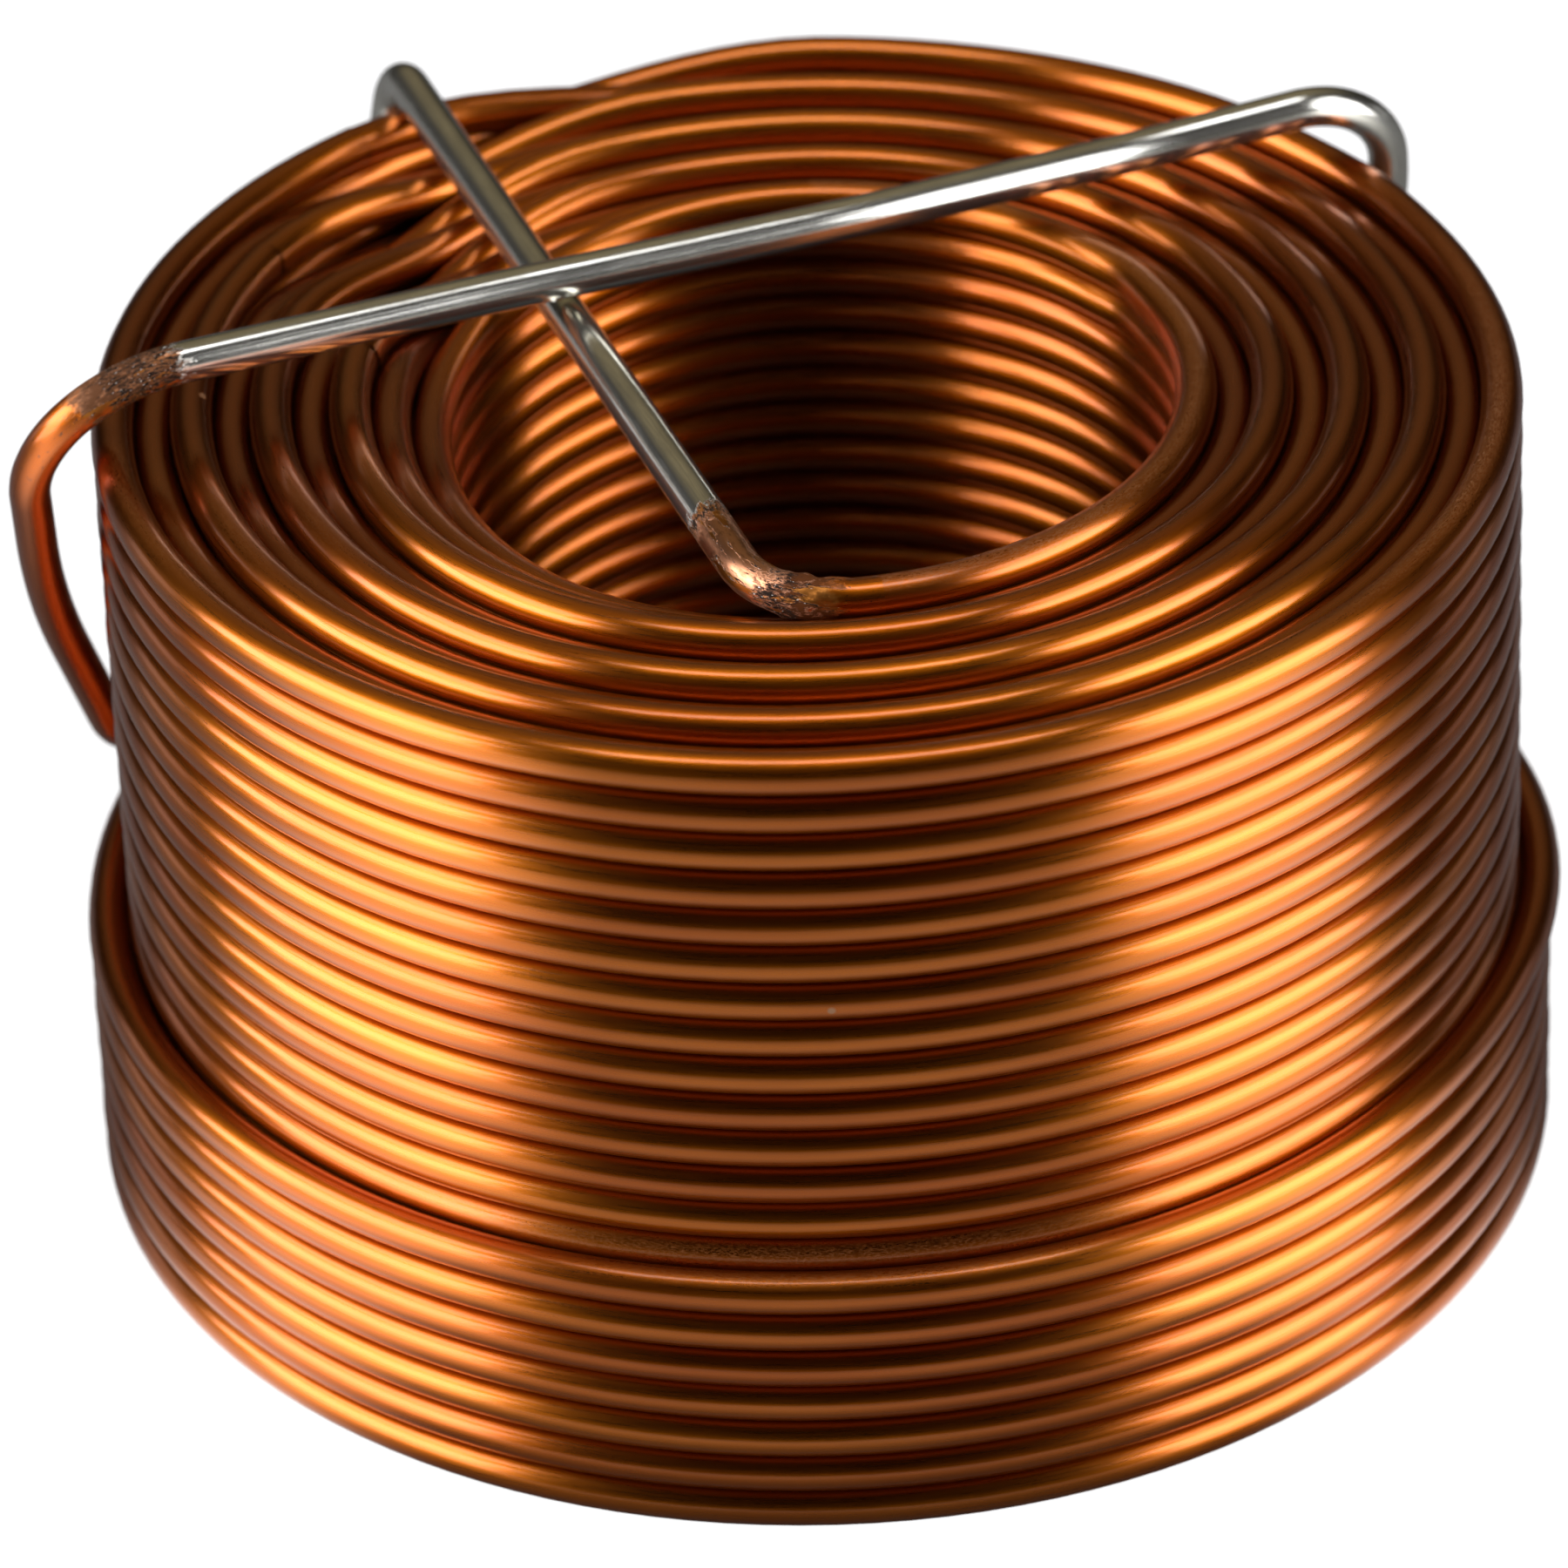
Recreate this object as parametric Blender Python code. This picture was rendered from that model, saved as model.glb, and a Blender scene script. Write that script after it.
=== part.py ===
"""Air-core choke coil: one enamelled copper wire wound in ten layers, with two tinned leads.

Metres, +Z up. The coil axis is the Z axis and the coil stands on z = 0. Its front is -Y.
The wire starts at the inner lead, runs down layer 1, up layer 2 and so on, and ends at the
outer lead. Odd layers stand half a turn higher than even ones, because each layer nests in the
grooves of the one inside it.
"""

import math

import bmesh
import bpy
from mathutils import Vector

# Wire
WIRE = 0.00106  # over the enamel: a 1.0 mm conductor and a 0.03 mm film
TURN_PITCH = 1.015 * WIRE  # between the turns of one layer
LAYER_PITCH = 0.905 * WIRE  # between nested layers

# Winding
FULL_LAYERS = 9
TURNS = 20  # in each full layer
OUTER_TURNS = 7  # in the part layer round the foot
INNER_RADIUS = 9.31 * WIRE  # of layer 1, to the middle of the wire
OUTER_NEST = 0.88 * WIRE  # the part layer beds a little deeper
STAND_OFF = 0.34 * WIRE  # the part layer's top turn stands this far off the wall on the right
STAND_OFF_MIDDLE = math.radians(3)
STAND_OFF_REACH = math.radians(33)

BASE_TURN = 0.5 * WIRE * math.cos(math.pi / 8)  # middle of the lowest turn, standing on a flat
TOP_TURN = BASE_TURN + (TURNS - 0.5) * TURN_PITCH  # middle of the highest turn

# Faceting
SLEEVE_SIDES = 36
BORE_SIDES = 32
WALL_SIDES = 40
WIRE_SIDES = 8
SLEEVE_HALF = 0.42 * WIRE  # half the wall of a layer's solid, a little under half a layer pitch
JOIN_GAP = 0.0001  # between two lengths of the same lead
HINGE_GAP = 0.0002  # between a lead and the fixed wire that it bends from

# Leads, in wire diameters, as (x, y, height above the top turn's middle)
OUTER_FOOT_ANGLE = 150  # where the outer lead leaves the part layer, in degrees from +X
OUTER_CORNERS = (
    ((-17.2, 4.6, -12.55), 2.0),  # turns up out of the part layer
    ((-18.3, 1.0, -5.5), 9.0),  # leans outwards
    ((-18.5, -2.3, 1.95), 1.7),  # arches over the left rim
    ((14.9, 10.7, 1.85), 1.5),  # hooks down over the right rim
    ((15.0, 11.5, -2.2), 0.0),  # free end
)
INNER_START_ANGLE = 128  # where the first turn has dropped to the second, in degrees from +X
INNER_LEAVE_ANGLE = -84  # where the first turn leaves the bore wall
INNER_CORNERS = (
    ((-1.1, -9.26, 0.05), 2.3),  # turns across the bore
    ((-9.95, 15.1, 1.27), 1.3),  # hooks down over the back rim
    ((-10.4, 15.3, -2.0), 0.0),  # free end
)
OUTER_SCORCH = 3.4 * WIRE  # bare, scorched length between hinge and tinning
INNER_SCORCH = 3.3 * WIRE
ARC_STEP = math.radians(22)

ENAMEL = (0.52, 0.17, 0.03)
SCORCHED = (0.28, 0.12, 0.07)
TIN = (0.60, 0.60, 0.58)


def clear_scene():
    for obj in list(bpy.data.objects):
        bpy.data.objects.remove(obj, do_unlink=True)


def metal(name, colour, roughness):
    material = bpy.data.materials.new(name)
    material.use_nodes = True
    shader = material.node_tree.nodes["Principled BSDF"]
    shader.inputs["Base Color"].default_value = (*colour, 1.0)
    shader.inputs["Metallic"].default_value = 1.0
    shader.inputs["Roughness"].default_value = roughness
    material.diffuse_color = (*colour, 1.0)
    return material


def make_object(name, mesh_builder, material, parent):
    mesh = bpy.data.meshes.new(name)
    bmesh.ops.recalc_face_normals(mesh_builder, faces=mesh_builder.faces)
    mesh_builder.to_mesh(mesh)
    mesh_builder.free()
    mesh.materials.append(material)
    mesh.shade_smooth()
    mesh.set_sharp_from_angle(angle=math.radians(60))
    obj = bpy.data.objects.new(name, mesh)
    bpy.context.scene.collection.objects.link(obj)
    obj.parent = parent
    obj.matrix_parent_inverse = parent.matrix_world.inverted()
    return obj


def empty_at(name, point):
    empty = bpy.data.objects.new(name, None)
    empty.empty_display_size = 2 * WIRE
    empty.location = point
    bpy.context.scene.collection.objects.link(empty)
    bpy.context.view_layer.update()
    return empty


def join_rings(builder, rings, closed):
    """Quads between rings of points, closed into a torus or left open at both ends."""
    loops = [[builder.verts.new(point) for point in ring] for ring in rings]
    pairs = list(zip(loops, loops[1:]))
    if closed:
        pairs.append((loops[-1], loops[0]))
    for first, second in pairs:
        for i in range(len(first)):
            j = (i + 1) % len(first)
            builder.faces.new((first[i], first[j], second[j], second[i]))
    return loops


def stand_off(angle):
    """How far the part layer's top turn stands off the wall at an angle round the coil."""
    away = abs(math.remainder(angle - STAND_OFF_MIDDLE, 2 * math.pi)) / STAND_OFF_REACH
    return STAND_OFF * math.cos(0.5 * math.pi * min(away, 1.0)) ** 2


def revolve(profile, sides, loose_above=math.inf):
    """The closed outline of (radius, height) points, turned about the coil axis.

    Points higher than loose_above stand off the wall on the right.
    """
    builder = bmesh.new()
    rings = []
    for i in range(sides):
        angle = 2 * math.pi * i / sides
        ring = []
        for radius, height in profile:
            if height > loose_above:
                radius += stand_off(angle)
            ring.append((radius * math.cos(angle), radius * math.sin(angle), height))
        rings.append(ring)
    join_rings(builder, rings, closed=True)
    return builder


def layer_radius(layer):
    if layer > FULL_LAYERS:
        return INNER_RADIUS + (FULL_LAYERS - 1) * LAYER_PITCH + OUTER_NEST
    return INNER_RADIUS + (layer - 1) * LAYER_PITCH


def turn_heights(layer):
    """Middles of a layer's turns, from the top down."""
    top = TOP_TURN if layer % 2 else TOP_TURN - 0.5 * TURN_PITCH
    if layer > FULL_LAYERS:
        top -= (TURNS - OUTER_TURNS) * TURN_PITCH
    count = OUTER_TURNS if layer > FULL_LAYERS else TURNS
    if layer == 1:
        top -= TURN_PITCH  # its first turn belongs to the inner lead
        count -= 1
    return [top - i * TURN_PITCH for i in range(count)]


def turn_points(radius, height, side):
    """The outward or inward half of an eight-sided turn, down to the groove under it."""
    reach = 0.5 * WIRE
    far = reach * math.cos(math.pi / 8)
    near = reach * math.sin(math.pi / 8)
    return [
        (radius + side * far, height + near),
        (radius + side * far, height - near),
        (radius + side * near, height - 0.5 * TURN_PITCH),
    ]


def layer_profile(layer, ribbed_side=0, ribbed_turns=0):
    """Section of a layer: a sleeve with rounded ends, ribbed turn by turn where it shows."""
    radius = layer_radius(layer)
    heights = turn_heights(layer)
    reach = 0.5 * WIRE * math.cos(math.pi / 8)
    flat = 0.5 * WIRE * math.sin(math.pi / 8)
    top = heights[0] + reach
    bottom = heights[-1] - reach
    plain_in = radius - SLEEVE_HALF
    plain_out = radius + SLEEVE_HALF
    outer = [(radius + flat, top)]
    inner = [(radius - flat, top)]
    for side, points, plain in ((1, outer, plain_out), (-1, inner, plain_in)):
        if side != ribbed_side:
            points.append((plain, heights[0] + flat))
            points.append((plain, heights[-1] - flat))
            continue
        for height in heights[:ribbed_turns]:
            points.extend(turn_points(radius, height, side))
        if ribbed_turns < len(heights):
            points.append((plain, heights[ribbed_turns] + flat))
            points.append((plain, heights[-1] - flat))
        else:
            points.pop()
    outer.append((radius + flat, bottom))
    inner.append((radius - flat, bottom))
    return outer + inner[::-1]


def bent_path(points, radii):
    """Points along a wire bent at each corner to its radius, ends included."""
    path = [points[0]]
    for i in range(1, len(points) - 1):
        before = (points[i - 1] - points[i]).normalized()
        after = (points[i + 1] - points[i]).normalized()
        turn = math.pi - before.angle(after)
        if turn < 1e-4:
            continue
        reach = radii[i] * math.tan(turn / 2)
        centre = points[i] + (before + after).normalized() * (radii[i] / math.cos(turn / 2))
        start = points[i] + before * reach - centre
        normal = start.cross(points[i] + after * reach - centre).normalized()
        sideways = normal.cross(start)
        steps = max(2, 2 * math.ceil(turn / ARC_STEP / 2))
        for k in range(steps + 1):
            angle = turn * k / steps
            path.append(centre + start * math.cos(angle) + sideways * math.sin(angle))
    path.append(points[-1])
    return path


def arc_middle(points, radii, corner):
    """Middle of the bend at a corner, which is where the lead's hinge is."""
    before = (points[corner - 1] - points[corner]).normalized()
    after = (points[corner + 1] - points[corner]).normalized()
    turn = math.pi - before.angle(after)
    inward = (before + after).normalized()
    return points[corner] + inward * radii[corner] * (1 / math.cos(turn / 2) - 1)


def lengths_along(path):
    lengths = [0.0]
    for a, b in zip(path, path[1:]):
        lengths.append(lengths[-1] + (b - a).length)
    return lengths


def length_at(path, point):
    """How far along the path its nearest point is."""
    lengths = lengths_along(path)
    best = (1.0, 0.0)
    for a, b, start in zip(path, path[1:], lengths):
        span = b - a
        share = max(0.0, min(1.0, (point - a).dot(span) / span.length_squared))
        best = min(best, ((a + span * share - point).length, start + share * span.length))
    return best[1]


def cut_path(path, start, end):
    """The stretch of the path between two lengths along it."""
    lengths = lengths_along(path)
    end = min(end, lengths[-1])
    kept = []
    for i in range(len(path) - 1):
        low, high = lengths[i], lengths[i + 1]
        if low <= start < high:
            kept.append(path[i].lerp(path[i + 1], (start - low) / (high - low)))
        if low < end <= high:
            kept.append(path[i].lerp(path[i + 1], (end - low) / (high - low)))
            break
        if start < high < end:
            kept.append(path[i + 1])
    clean = [kept[0]]
    for point in kept[1:]:
        if (point - clean[-1]).length > 0.05 * WIRE:
            clean.append(point)
    return clean


def sweep(path, round_start=False, round_end=True):
    """An eight-sided wire along a path, with its frame carried along without twist."""
    builder = bmesh.new()
    radius = 0.5 * WIRE
    spans = [(b - a).normalized() for a, b in zip(path, path[1:])]
    tangents = [(a + b).normalized() for a, b in zip(spans, spans[1:])]
    tangents = [spans[0], *tangents, spans[-1]]
    side = tangents[0].orthogonal().normalized()
    stations = []
    for point, tangent in zip(path, tangents):
        side = (side - tangent * side.dot(tangent)).normalized()
        stations.append((point, tangent, side, radius))
    dome = [math.radians(a) for a in (30, 62)]
    if round_start:
        point, tangent, first_side, _ = stations[0]
        caps = [(point - tangent * radius * math.sin(a), tangent, first_side, radius * math.cos(a))
                for a in dome]
        stations = caps[::-1] + stations
    if round_end:
        point, tangent, last_side, _ = stations[-1]
        stations += [(point + tangent * radius * math.sin(a) * 0.5, tangent, last_side,
                      radius * math.cos(a)) for a in dome]
    rings = []
    for point, tangent, side, reach in stations:
        other = tangent.cross(side)
        ring = []
        for k in range(WIRE_SIDES):
            angle = 2 * math.pi * (k + 0.5) / WIRE_SIDES
            ring.append(point + side * reach * math.cos(angle) + other * reach * math.sin(angle))
        rings.append(ring)
    loops = join_rings(builder, rings, closed=False)
    builder.faces.new(loops[0])
    builder.faces.new(loops[-1])
    return builder


def placed(corner):
    x, y, height = corner
    return Vector((x * WIRE, y * WIRE, TOP_TURN + height * WIRE))


def circle_points(radius, height, start, end, step=12):
    """Points round the coil axis from one angle to another, in degrees."""
    count = max(1, round(abs(end - start) / step))
    points = []
    for i in range(count + 1):
        angle = math.radians(start + (end - start) * i / count)
        points.append(Vector((radius * math.cos(angle), radius * math.sin(angle), height)))
    return points


def lead_path(root, corners):
    """The wire from its root on the coil through its corners to its free end."""
    points = [root[-1]] + [placed(corner) for corner, _ in corners]
    radii = [0.0] + [radius * WIRE for _, radius in corners]
    return root[:-1] + bent_path(points, radii), points, radii


def build_windings(enamel, coil):
    for layer in range(1, FULL_LAYERS + 2):
        sides, ribbed_side, ribbed_turns = SLEEVE_SIDES, 0, 0
        loose_above = math.inf
        if layer == 1:
            sides, ribbed_side, ribbed_turns = BORE_SIDES, -1, TURNS - 1
        elif layer == FULL_LAYERS:
            sides, ribbed_side, ribbed_turns = WALL_SIDES, 1, TURNS - OUTER_TURNS + 1
        elif layer > FULL_LAYERS:
            sides, ribbed_side, ribbed_turns = WALL_SIDES, 1, OUTER_TURNS
            loose_above = turn_heights(layer)[0] - 0.4 * TURN_PITCH
        profile = layer_profile(layer, ribbed_side, ribbed_turns)
        builder = revolve(profile, sides, loose_above)
        make_object(f"winding_layer_{layer:02d}", builder, enamel, coil)


def build_lead(name, path, hinge, scorch, materials, coil):
    """A lead in three lengths: enamelled root on the coil, scorched and tinned on the hinge."""
    enamel, scorched, tin = materials
    at_hinge = length_at(path, hinge)
    total = lengths_along(path)[-1]
    pivot = empty_at(f"{name}_lead_hinge", hinge)
    root = cut_path(path, 0.0, at_hinge - 0.5 * WIRE - HINGE_GAP)
    burnt = cut_path(path, at_hinge, at_hinge + scorch)
    bright = cut_path(path, at_hinge + scorch + JOIN_GAP, total)
    make_object(f"{name}_lead_root", sweep(root, round_end=False), enamel, coil)
    make_object(f"{name}_lead_scorched", sweep(burnt, True, False), scorched, pivot)
    make_object(f"{name}_lead_tinned", sweep(bright), tin, pivot)


def main():
    clear_scene()
    materials = (
        metal("enamelled_copper", ENAMEL, 0.25),
        metal("scorched_copper", SCORCHED, 0.55),
        metal("tinned_copper", TIN, 0.25),
    )
    coil = empty_at("coil_axis", Vector((0, 0, 0)))
    build_windings(materials[0], coil)

    foot_height = turn_heights(FULL_LAYERS + 1)[0] + 1.1 * WIRE
    foot_radius = layer_radius(FULL_LAYERS + 1) + 0.12 * WIRE
    outer_root = circle_points(foot_radius, foot_height, OUTER_FOOT_ANGLE - 24, OUTER_FOOT_ANGLE)
    path, points, radii = lead_path(outer_root, OUTER_CORNERS)
    build_lead("outer", path, arc_middle(points, radii, 3), OUTER_SCORCH, materials, coil)

    inner_root = circle_points(INNER_RADIUS, TOP_TURN, INNER_START_ANGLE, INNER_LEAVE_ANGLE)
    path, points, radii = lead_path(inner_root, INNER_CORNERS)
    build_lead("inner", path, arc_middle(points, radii, 1), INNER_SCORCH, materials, coil)


main()
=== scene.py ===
"""Looks of the air-core choke coil: the one wire wound turn by turn, its leads, finishes, light and camera.

Metres, +Z up, the coil's axis on Z and its front at -Y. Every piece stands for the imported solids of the
same part of the wire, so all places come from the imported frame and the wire's own diameter and pitch.
"""

import math

import bpy
import numpy as np
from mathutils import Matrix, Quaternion, Vector


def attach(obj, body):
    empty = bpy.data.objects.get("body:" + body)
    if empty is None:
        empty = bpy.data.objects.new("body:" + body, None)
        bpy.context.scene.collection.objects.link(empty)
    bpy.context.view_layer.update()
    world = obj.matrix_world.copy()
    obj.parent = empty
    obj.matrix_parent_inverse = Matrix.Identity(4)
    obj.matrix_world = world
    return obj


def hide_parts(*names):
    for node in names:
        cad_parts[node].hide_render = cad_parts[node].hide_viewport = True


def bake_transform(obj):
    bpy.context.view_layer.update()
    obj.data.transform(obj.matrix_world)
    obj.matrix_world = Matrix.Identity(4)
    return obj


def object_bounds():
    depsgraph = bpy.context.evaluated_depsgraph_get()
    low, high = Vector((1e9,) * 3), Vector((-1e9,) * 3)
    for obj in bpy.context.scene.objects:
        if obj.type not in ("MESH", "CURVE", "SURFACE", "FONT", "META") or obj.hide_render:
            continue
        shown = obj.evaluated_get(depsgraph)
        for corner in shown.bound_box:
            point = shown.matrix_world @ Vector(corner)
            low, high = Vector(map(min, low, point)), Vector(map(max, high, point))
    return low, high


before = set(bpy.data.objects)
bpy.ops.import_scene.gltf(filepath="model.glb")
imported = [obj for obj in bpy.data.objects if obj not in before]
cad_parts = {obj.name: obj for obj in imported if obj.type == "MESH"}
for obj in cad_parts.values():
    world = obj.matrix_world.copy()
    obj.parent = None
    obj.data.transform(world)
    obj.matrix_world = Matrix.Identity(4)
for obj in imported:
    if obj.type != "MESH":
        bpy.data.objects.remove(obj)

CAD_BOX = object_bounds()

# Wire and winding
WIRE = 0.00106
TURN_PITCH = 1.015 * WIRE
LAYER_PITCH = 0.905 * WIRE
FULL_LAYERS = 9
LAST_LAYER = 10
TURNS = 20
OUTER_TURNS = 7
INNER_RADIUS = 9.31 * WIRE
OUTER_NEST = 0.88 * WIRE
BASE_TURN = 0.5 * WIRE
TOP_TURN = BASE_TURN + (TURNS - 0.5) * TURN_PITCH

# Where the turns step over to the next height, in degrees from +X, turning from +X to +Y
SEAM_ANGLES = (131, 131, 131, 130, 128, 124, 119, 112, 103, 103)  # layers 1 to 10
SEAM_SLANT = 24  # how far the steps drift round from the first to the last turn of a layer
STEP_ARC = 32  # the topmost step of a layer; lower ones are spread over a longer arc
LONG_STEP_ARC = 86
STEP_SPREAD = 6  # turns over which the steps lengthen
CLIMB_ARC = 30
TOP_CLIMB_LAG = 6  # from the next layer's step to the climb at the top of the coil
TOP_CLIMB_ADVANCE = 2.2  # less for each layer past the fourth
FOOT_CLIMB_LAG = 14
WIRE_END_LEAD = 5  # how far before its seam the last layer turns into the outer lead

# Where the wire strays from even rings
SEAM_BULGE = 0.04 * WIRE  # a layer, where turns ride over each other instead of nesting
SEAM_BULGE_LAG = 20
SEAM_BULGE_REACH = 62
LEFT_SQUEEZE = 0.40 * WIRE  # the bore is a little flat on the left
LEFT_SQUEEZE_LOST = 0.7  # share of it that the outermost full layer no longer has
LEFT_ANGLE = 187
LEFT_REACH = 55
KNEE = 0.07 * WIRE  # a slight kink in the top turns of the odd layers
KNEE_ANGLE = 32
KNEE_REACH = 9

# The part layer's top turn stands off the wall on the right
STAND_OFF = 0.27 * WIRE
STAND_OFF_MIDDLE = 3
STAND_OFF_REACH = 33

# The part layer lies tighter in the grooves on the right
TIGHT_NEST = 0.11 * WIRE
TIGHT_MIDDLE = 0
TIGHT_REACH = 85

# Leads, in wire diameters, as ((x, y, height above the top turn), bend radius)
OUTER_FOOT_ANGLE = 150
OUTER_FOOT_RISE = 1.1 * WIRE
OUTER_FOOT_STAND_OFF = 0.12 * WIRE
OUTER_FOOT_ARC = 26
OUTER_CORNERS = (
    ((-17.2, 4.8, -12.2), 3.0),
    ((-18.5, 1.2, -5.6), 27.0),
    ((-18.45, -2.6, 2.2), 3.5),
    ((-7.0, 2.2, 1.9), 60.0),
    ((1.6, 5.35, 1.8), 30.0),
    ((8.3, 8.6, 1.45), 14.0),
    ((14.55, 10.5, 1.95), 2.5),
    ((14.7, 11.6, -2.2), 0.0),
)
OUTER_ARCH = 3  # which corner holds the hinge, counted with the root as 0
INNER_RING_END = -80
INNER_LEAVE_ANGLE = -84
INNER_CORNERS = (
    ((-1.1, -9.26, 0.05), 2.3),
    ((-4.0, -1.6, 0.62), 30.0),
    ((-9.85, 14.9, 1.05), 1.2),
    ((-10.35, 15.2, -2.0), 0.0),
)
INNER_BEND = 1
BEND_REACH = 2.4 * WIRE  # how far either side of a hinge the wire bends
OUTER_SCORCH = 2.9  # wire diameters past the hinge where the tin starts
INNER_SCORCH = 3.3
INNER_CRUST = (-1.9, 0.1)  # where burnt enamel is left as a lump
OUTER_CRUST = (0.2, 2.4)
OUTER_ENAMEL_END = 0.3
INNER_ENAMEL_END = -1.5
OUTER_CHAR = (1.5, 2.1, 2.6)  # where soot sits
INNER_CHAR = (-0.2, 3.1)
TIP_ROUNDING = (0.96, 0.86, 0.6)  # radius of the cut end's last three rings
BEND_STEP = 0.12 * WIRE
STRAIGHT_STEP = 0.5 * WIRE
CLOSEST_POINTS = 0.05 * WIRE

# Fineness: rings of vertices in a turn, and vertices in a ring
SHOWN_SEGMENTS, SHOWN_SIDES = 128, 20
HIDDEN_SEGMENTS, HIDDEN_SIDES = 96, 14
LEAD_SIDES = 24

# Lights: name, azimuth (0 at the front, 90 at the right), elevation, width, height, radiance
PANELS = (
    ("left_low", -70, 4, 0.30, 0.12, 5.6),
    ("left_main", -78, 23, 0.37, 0.15, 8.8),
    ("left_high", -83, 45, 0.24, 0.12, 6.4),
    ("right_low", 67, 4, 0.29, 0.12, 5.2),
    ("right_main", 68, 24, 0.28, 0.16, 7.8),
    ("right_high", 75, 44, 0.20, 0.12, 4.2),
    ("overhead", 0, 91, 0.24, 0.10, 6.6),
    ("left_back", -116, 2, 0.10, 0.16, 0.9),
    ("right_back", 114, 3, 0.12, 0.14, 0.5),
)
PANEL_DISTANCE = 0.40
PANEL_COLOUR = (0.99, 1.0, 1.08)
GLOW_TOWARD = (0.0, 0.6, 0.8)  # the brightest part of the ceiling, high at the back
GLOW_COLOUR = (1.0, 0.80, 0.42)
FLOOR_HALF = 4.0
FLOOR_GAP = 0.00002  # between the coil and the floor

# Camera: a long lens looking down on the front
CAMERA_ELEVATION = math.radians(32.73)
CAMERA_ROLL = math.radians(-2.08)
CAMERA_DISTANCE = 246.5 * WIRE
CAMERA_AIM = TOP_TURN - 10.0 * WIRE
CAMERA_LENS = 232.98
CAMERA_SHIFT = (-0.0209, -0.0225)
FOCUS_HEIGHT = TOP_TURN - 6.0 * WIRE
FOCUS_SHARE = 0.046  # of the way from the coil's axis to the camera: the near side is sharp from anywhere
APERTURE = 100


# ---------------------------------------------------------------- paths


def ease(t):
    """0 to 1 with a smooth start and end."""
    t = np.clip(t, 0.0, 1.0)
    return t * t * (3 - 2 * t)


def layer_radius(layer):
    if layer > FULL_LAYERS:
        return INNER_RADIUS + (FULL_LAYERS - 1) * LAYER_PITCH + OUTER_NEST
    return INNER_RADIUS + (layer - 1) * LAYER_PITCH


def turn_height(layer, turn):
    """Middle of a layer's turn, counted along the wire: odd layers run down, even ones up."""
    if layer % 2:
        return TOP_TURN - turn * TURN_PITCH
    return BASE_TURN + turn * TURN_PITCH


def seam_angle(layer):
    return SEAM_ANGLES[layer - 1]


def step_arc(layer, turn):
    """How far round the coil a layer's step takes: short only at the top of the coil."""
    if layer == LAST_LAYER:
        return STEP_ARC
    if layer == 1:
        return LONG_STEP_ARC
    below_top = turn if layer % 2 else TURNS - 2 - turn
    return STEP_ARC + (LONG_STEP_ARC - STEP_ARC) * min(1.0, below_top / STEP_SPREAD)


def climb_start(layer):
    """Where the wire leaves a full layer: at the top it follows close on the next layer's step."""
    if layer % 2:
        return seam_angle(layer) + SEAM_SLANT + FOOT_CLIMB_LAG
    return seam_angle(layer + 1) + TOP_CLIMB_LAG - TOP_CLIMB_ADVANCE * max(0, layer - 4)


def first_step():
    """Where the wire's first turn starts to step down, and layer 1 begins."""
    return seam_angle(1) - LONG_STEP_ARC / 2


def turn_count(layer):
    return OUTER_TURNS if layer > FULL_LAYERS else TURNS


def wire_events():
    """Steps and climbs along the wire, as (start angle, end angle, from, to, pivot), in degrees.

    The wire is level between them. A step has no pivot; a climb to the next layer rolls
    over the turn at its pivot. From, to and pivot are (radius, height).
    """
    events = []
    spans = {}
    whole = 0
    start = first_step()
    for layer in range(1, LAST_LAYER + 1):
        radius, seam, last = layer_radius(layer), seam_angle(layer), turn_count(layer) - 1
        for turn in range(last):
            middle = seam + SEAM_SLANT * turn / (TURNS - 1) + 360 * whole
            here = (radius, turn_height(layer, turn))
            there = (radius, turn_height(layer, turn + 1))
            half = step_arc(layer, turn) / 2
            events.append((middle - half, middle + half, here, there, None))
            whole += 1
        if layer == LAST_LAYER:
            end = seam - WIRE_END_LEAD + 360 * whole
        else:
            leave = climb_start(layer) + 360 * whole
            end = leave + CLIMB_ARC
            here = (radius, turn_height(layer, last))
            there = (layer_radius(layer + 1), turn_height(layer + 1, 0))
            pivot = (there[0], turn_height(layer + 1, 1))
            events.append((leave, end, here, there, pivot))
            whole += 1
        spans[layer] = (start, end)
        start = end
    return events, spans


def level_wire(angles, events):
    """Radius and height at each angle along the wire, before small irregularities."""
    starts = np.array([e[0] for e in events])
    index = np.searchsorted(starts, angles, side="right") - 1
    radius, height = np.empty(len(angles)), np.empty(len(angles))
    for i, (angle, k) in enumerate(zip(angles, index)):
        if k < 0:
            radius[i], height[i] = events[0][2]
            continue
        begin, end, here, there, pivot = events[k]
        share = float(ease((angle - begin) / (end - begin)))
        if pivot is None:
            radius[i] = here[0] + (there[0] - here[0]) * share
            height[i] = here[1] + (there[1] - here[1]) * share
            continue
        first = math.atan2(here[1] - pivot[1], here[0] - pivot[0]) % (2 * math.pi)
        second = math.atan2(there[1] - pivot[1], there[0] - pivot[0]) % (2 * math.pi)
        far = math.hypot(here[0] - pivot[0], here[1] - pivot[1])
        near = math.hypot(there[0] - pivot[0], there[1] - pivot[1])
        roll = first + (second - first) * share
        reach = far + (near - far) * share
        radius[i] = pivot[0] + reach * math.cos(roll)
        height[i] = pivot[1] + reach * math.sin(roll)
    return radius, height


def window(angles, middle, reach):
    """1 at the middle angle, falling to 0 at the reach, in degrees round the coil."""
    away = np.abs((angles - middle + 180) % 360 - 180) / reach
    return np.cos(0.5 * np.pi * np.clip(away, 0, 1)) ** 2


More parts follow.
